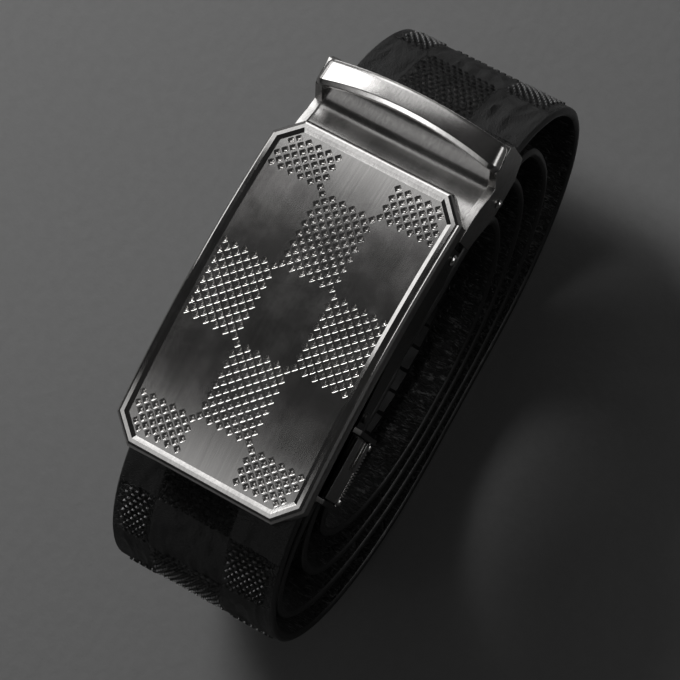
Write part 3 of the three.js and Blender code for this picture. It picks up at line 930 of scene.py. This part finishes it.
@dataclass
class FacePlate:
    """Arched, eight-sided plate with a bevelled rim and a brushed field pitted in a checker."""

    arch: float = 3.4  # its middle over its ends
    arch_steps: int = 44
    corner: float = 4.6
    skin: float = 2.3
    wall: float = 1.0
    rim_width: float = 1.6
    inner_bevel: float = 0.8
    edge_bevel: float = 0.9
    recess: float = 0.5
    step_along: float = 1.033  # the pits' grid
    step_across: float = 1.06
    cell_along: int = 15  # grid steps from one cell's middle to the next
    cell_across: int = 11
    pit_reach: float = 0.80
    pit_depth: float = 0.42
    pit_margin: float = 0.75  # from a pit's middle to the field's edge
    pit_border: float = 0.04  # least metal between a pit and that edge
    pit_square: float = 1.14  # one is a square on its corner, two is round
    pit_sides: int = 16

    def point(self, box: Extent, x: float, y: float, height: float) -> tuple[float, float, float]:
        """A point of the plate.

        Args:
            box: the plate's box.
            x: place along it from its middle.
            y: place across it from its middle.
            height: height over or under the arched rim.

        Returns:
            The point in the frame.
        """
        share = min(1.0, abs(x) / (box.size.x / 2))
        lift = -self.arch * share * share
        return (x + box.middle.x, y + box.middle.y, box.high.z + lift + height)

    def ring(self, box: Extent, inset: float, height: float) -> list[tuple[float, float, float]]:
        """The plate's outline, moved in and to a height over or under the rim.

        Args:
            box: the plate's box.
            inset: distance inside the outline.
            height: height from the rim.

        Returns:
            Its points, first those of the +Y half and then the others.
        """
        corner = self.corner - inset * (2 - math.sqrt(2))
        x, y = box.size.x / 2 - inset, box.size.y / 2 - inset
        along = np.linspace(x - corner, corner - x, self.arch_steps + 1)
        side = [(x, y - corner), *((float(a), y) for a in along), (-x, y - corner)]
        around = side + [(a, -b) for a, b in reversed(side)]
        return [self.point(box, a, b, height) for a, b in around]

    def spare(self, box: Extent, x: float, y: float) -> float:
        """Distance from a point of the field to the field's edge."""
        spare_x, spare_y = box.size.x / 2 - abs(x), box.size.y / 2 - abs(y)
        spare_corner = (spare_x + spare_y - self.corner) / math.sqrt(2)
        return min(spare_x, spare_y, spare_corner) - self.rim_width - self.inner_bevel

    def pitted(self, i: int, j: int) -> bool:
        """Whether a place of the grid lies in a pitted cell, between its outermost pits."""
        row, column = round(i / self.cell_along), round(j / self.cell_across)
        return (row + column) % 2 == 1

    def places(self, box: Extent) -> tuple[list[tuple[float, float, float]], list[tuple[float, float]]]:
        """Lists every other place of the grid, from the plate's middle.

        Args:
            box: the plate's box.

        Returns:
            Each pit's middle and reach, and the places on the smooth cells.
        """
        pits, smooth = [], []
        reach_i = int(box.size.x / 2 / self.step_along)
        reach_j = int(box.size.y / 2 / self.step_across)
        for i in range(-reach_i, reach_i + 1):
            for j in range(-reach_j, reach_j + 1):
                if (i + j) % 2 == 0:
                    continue
                x, y = i * self.step_along, j * self.step_across
                spare = self.spare(box, x, y)
                if self.pitted(i, j) and spare >= self.pit_margin:
                    pits.append((x, y, min(self.pit_reach, spare - self.pit_border)))
                elif spare >= self.pit_margin / 2:
                    smooth.append((x, y))
        return pits, smooth

    def pit_ring(self, pit: tuple[float, float, float], share: float) -> list[tuple[float, float]]:
        """The outline of a pit: a square on its corner with round corners.

        Args:
            pit: the pit's middle and reach.
            share: size of this ring beside the pit's mouth.

        Returns:
            The points.
        """
        around = []
        for i in range(self.pit_sides):
            angle = 2 * math.pi * i / self.pit_sides
            c, s = math.cos(angle), math.sin(angle)
            power = self.pit_square
            radius = share * pit[2] / (abs(c) ** power + abs(s) ** power) ** (1 / power)
            around.append((pit[0] + radius * c, pit[1] + radius * s))
        return around

    def field(self, shape: Shape, box: Extent, edge: Sequence[int]) -> None:
        """Adds the pitted field.

        Args:
            shape: the plate's shape so far.
            box: the plate's box.
            edge: point numbers of the field's outline.
        """
        pits, smooth = self.places(box)
        mouths = []
        for pit in pits:
            rings = []
            for share, drop in ((1.0, 0.0), (0.9, 0.06), (0.25, 0.9)):
                level = -self.recess - drop * self.pit_depth
                ring = [self.point(box, x, y, level) for x, y in self.pit_ring(pit, share)]
                rings.append(shape.add_points(ring))
            floor = self.point(box, pit[0], pit[1], -self.recess - self.pit_depth)
            bottom = shape.add_points([floor])[0]
            shape.skin(rings, 2)
            for i in range(self.pit_sides):
                shape.add_face((rings[2][i], rings[2][(i + 1) % self.pit_sides], bottom), 2)
            mouths.append(rings[0])
        open_points = shape.add_points([self.point(box, x, y, -self.recess) for x, y in smooth])
        numbers = [*edge, *(n for mouth in mouths for n in mouth), *open_points]
        flat = [Vector(shape.points[n][:2]) for n in numbers]
        local = {n: i for i, n in enumerate(numbers)}
        borders = [[local[n] for n in loop] for loop in (edge, *mouths)]
        edges = [(loop[i], loop[(i + 1) % len(loop)]) for loop in borders for i in range(len(loop))]
        _, _, triangles, source, _, _ = geometry.delaunay_2d_cdt(flat, edges, [], 0, 1e-7)
        names = [numbers[s[0]] for s in source]
        owner = {n: order for order, mouth in enumerate(mouths) for n in mouth}
        for triangle in triangles:
            corners = [names[i] for i in triangle]
            owners = {owner.get(n, -1) for n in corners}
            if len(owners) > 1 or -1 in owners:
                shape.add_face(corners, 1)

    def make(self) -> None:
        """Builds and settles the plate."""
        box = Extent.of("face_plate")
        drop = box.size.z - self.arch
        eased = self.edge_bevel
        sections = [
            (self.wall, -self.skin), (self.wall, -drop), (eased / 4, -drop), (eased / 8, -drop + 0.12),
            (0.0, -eased * 1.6), (0.04, -eased * 1.2), (eased * 0.42, -eased * 0.42),
            (eased * 0.52, -eased * 0.32), (eased - 0.06, -0.03), (eased, 0.0),
            (self.rim_width, 0.0), (self.rim_width + 0.05, -0.03),
            (self.rim_width + self.inner_bevel, -self.recess),
        ]
        shape = Shape()
        rings = [shape.add_points(self.ring(box, inset, height)) for inset, height in sections]
        shape.skin(rings, 0)
        count = len(rings[0])
        for i in range(count // 2 - 1):
            shape.add_face([rings[0][k] for k in (i, count - 1 - i, count - 2 - i, i + 1)], 0)
        self.field(shape, box, rings[-1])
        metals = [
            Metal("plate_rim", 0.50, 0.12, relief=0.15).material(),
            Metal("plate_field", 0.40, 0.22, brushed=True, relief=0.35).material(),
            Metal("plate_pits", 0.88, 0.16, relief=0.1).material(),
        ]
        piece = shape.build("face_plate_finished", metals, sharp=18.0)
        self.wind(piece)
        settle(piece, Body.ROOT, "plate_metal", "face_plate")

    @staticmethod
    def wind(piece: bpy.types.Object) -> None:
        """Turns every face outwards."""
        mesh = bmesh.new()
        mesh.from_mesh(piece.data)
        bmesh.ops.recalc_face_normals(mesh, faces=mesh.faces)
        mesh.to_mesh(piece.data)
        mesh.free()


# Metalwork that keeps the frame's shapes, with eased edges


@dataclass(frozen=True)
class EasedNode:
    """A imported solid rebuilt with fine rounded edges."""

    node: str
    body: Body
    slot: str
    metal: Metal
    easing: float = 0.12
    corner: float = 28.0  # edges sharper than this many degrees are rounded

    def make(self) -> None:
        """Builds and settles the piece."""
        mesh = bmesh.new()
        mesh.from_mesh(bpy.data.objects[self.node].data)
        bmesh.ops.remove_doubles(mesh, verts=mesh.verts, dist=2e-6)
        bmesh.ops.dissolve_limit(
            mesh, angle_limit=math.radians(0.5), verts=mesh.verts, edges=mesh.edges)
        limit = math.radians(self.corner)
        edges = [e for e in mesh.edges if len(e.link_faces) == 2 and e.calc_face_angle(0.0) > limit]
        bmesh.ops.bevel(
            mesh, geom=edges, offset=self.easing * MM, segments=2, profile=0.5, affect="EDGES",
            clamp_overlap=False)
        bmesh.ops.recalc_face_normals(mesh, faces=mesh.faces)
        data = bpy.data.meshes.new(self.node + "_finished")
        mesh.to_mesh(data)
        mesh.free()
        piece = finished(self.node + "_finished", data, [self.metal.material()], 40.0)
        normals = piece.modifiers.new("normals", "WEIGHTED_NORMAL")
        normals.keep_sharp = True
        settle(piece, self.body, self.slot, self.node)


@dataclass
class LeverSpring:
    """Fine torsion spring on the lever's pin."""

    wire: float = 0.13
    pitch: float = 0.62
    sides: int = 6
    turn_steps: int = 14

    def make(self) -> None:
        """Builds and settles the coil."""
        box = Extent.of("lever_spring")
        radius = box.size.z / 2 - self.wire
        turns = (box.size.x - 2 * self.wire) / self.pitch
        steps = int(turns * self.turn_steps)
        shape = Shape()
        rings = []
        for i in range(steps + 1):
            angle = 2 * math.pi * i / self.turn_steps
            x = box.low.x + self.wire + self.pitch * i / self.turn_steps
            out = Vector((0.0, math.cos(angle), math.sin(angle)))
            middle = Vector((x, box.middle.y, box.middle.z)) + out * radius
            along = Vector((1.0, 0.0, 0.0))
            ring = []
            for k in range(self.sides):
                turn = 2 * math.pi * k / self.sides
                ring.append(tuple(middle + (out * math.cos(turn) + along * math.sin(turn)) * self.wire))
            rings.append(shape.add_points(ring))
        shape.skin(rings)
        shape.add_face(rings[0][::-1])
        shape.add_face(rings[-1])
        piece = shape.build("lever_spring_coil", [Metal("spring_steel", 0.62, 0.18).material()])
        FacePlate.wind(piece)
        settle(piece, Body.ROOT, "pin_steel", "lever_spring")


@dataclass
class Track:
    """The toothed strip's finish."""

    def make(self, frame: dict) -> None:
        """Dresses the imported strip."""
        dress(frame["nodes"]["ratchet_track"], Moulding().material())


def dress(node: bpy.types.Object, material: bpy.types.Material) -> None:
    """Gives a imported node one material."""
    node.data.materials.clear()
    node.data.materials.append(material)
    log.info("%s dressed", node.name)


# Stage


@dataclass
class Studio:
    """Pale floor, soft lights and the camera at the photograph's angle."""

    floor_reach: float = 3000.0
    camera_place: tuple[float, float, float] = (-39.24, -207.81, 675.43)
    camera_right: tuple[float, float, float] = (0.48288, -0.8406, -0.24389)
    camera_up: tuple[float, float, float] = (0.87358, 0.44546, 0.19413)
    camera_back: tuple[float, float, float] = (-0.05458, -0.30701, 0.94944)
    focal_pixels: float = 3600.0
    sensor: float = 36.0

    def floor(self) -> None:
        """Builds the floor."""
        shape = Shape()
        reach = self.floor_reach
        corners = [(-reach, -reach, 0), (reach, -reach, 0), (reach, reach, 0), (-reach, reach, 0)]
        shape.add_face(shape.add_points(corners))
        shape.build("floor", [FloorFinish().material()])

    def light(self, name: str, place: Sequence[float], aim: Sequence[float], width: float, height: float,
              radiance: float, lit: bool = False) -> None:
        """Adds one soft box.

        Args:
            name: the light's name.
            place: its middle.
            aim: the point that it faces.
            width: its size along its own X.
            height: its size along its own Y.
            radiance: how bright its face is.
            lit: whether it lights matt surfaces too, or is only mirrored.
        """
        data = bpy.data.lights.new(name, "AREA")
        data.shape = "RECTANGLE"
        data.size, data.size_y = width * MM, height * MM
        data.energy = 4 * radiance * data.size * data.size_y
        lamp = bpy.data.objects.new(name, data)
        way = Vector(aim) - Vector(place)
        lamp.rotation_mode = "QUATERNION"
        lamp.rotation_quaternion = way.to_track_quat("-Z", "Y")
        lamp.location = Vector(place) * MM
        lamp.visible_diffuse = lit
        bpy.context.scene.collection.objects.link(lamp)

    def camera(self) -> None:
        """Sets the camera."""
        data = bpy.data.cameras.new("camera")
        data.sensor_width = self.sensor
        data.lens = self.focal_pixels / PICTURE * self.sensor
        data.clip_start, data.clip_end = 0.05, 20.0
        camera = bpy.data.objects.new("camera", data)
        turn = Matrix((self.camera_right, self.camera_up, self.camera_back)).transposed()
        camera.matrix_world = Matrix.Translation(Vector(self.camera_place) * MM) @ turn.to_4x4()
        bpy.context.scene.collection.objects.link(camera)
        bpy.context.scene.camera = camera

    def make(self) -> None:
        """Builds the whole stage."""
        self.floor()
        self.light("key", (230, 470, 430), (0, 0, 40), 260, 260, 4.2, lit=True)
        self.light("mouth_ceiling", (-330, 130, 470), (-20, 0, 60), 300, 320, 0.62)
        self.light("clip_ceiling", (390, 170, 470), (20, 0, 60), 300, 320, 0.95)
        self.light("far_wall", (520, 220, 90), (0, 0, 50), 420, 160, 1.8)
        self.light("left_wall", (210, 600, 150), (0, 0, 60), 360, 170, 1.3)
        self.light("lever_wall", (190, -480, 210), (0, 0, 50), 320, 170, 1.7)
        self.light("mouth_lamp", (-420, 190, 430), (-40, 0, 30), 110, 110, 5.5)
        self.light("clip_lamp", (470, 300, 420), (50, 0, 40), 170, 170, 2.2)
        world = bpy.data.worlds.new("studio")
        world.use_nodes = True
        ground = world.node_tree.nodes["Background"]
        ground.inputs["Color"].default_value = grey(0.022)
        ground.inputs["Strength"].default_value = 1.0
        bpy.context.scene.world = world
        bpy.context.scene.view_settings.view_transform = "Standard"
        self.camera()


def main() -> None:
    """Builds the belt and its stage around the frame."""
    logging.basicConfig(level=logging.INFO, format="%(message)s")
    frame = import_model()
    Strap().make(frame)
    FacePlate().make()
    gunmetal = Metal("clip_metal", 0.40, 0.22, relief=0.1)
    dark = Metal("housing_metal", 0.09, 0.3)
    steel = Metal("pin_steel", 0.6, 0.16)
    for piece in (
        EasedNode("tail_clip", Body.ROOT, "clip_metal", gunmetal),
        EasedNode("buckle_housing", Body.ROOT, "housing_metal", dark, 0.08),
        EasedNode("release_lever", Body.LEVER, "clip_metal", gunmetal, 0.08),
        EasedNode("hinge_pin", Body.ROOT, "pin_steel", steel, 0.1),
        EasedNode("jaw_pin", Body.ROOT, "pin_steel", steel, 0.1),
        EasedNode("clamp_jaw", Body.ROOT, "pin_steel", Metal("jaw_steel", 0.4, 0.25), 0.06),
    ):
        piece.make()
    dress(frame["nodes"]["lever_pin"], Metal("lever_pin_steel", 0.6, 0.18).material())
    LeverSpring().make()
    Track().make(frame)
    Studio().make()


if __name__ == "__main__":
    main()
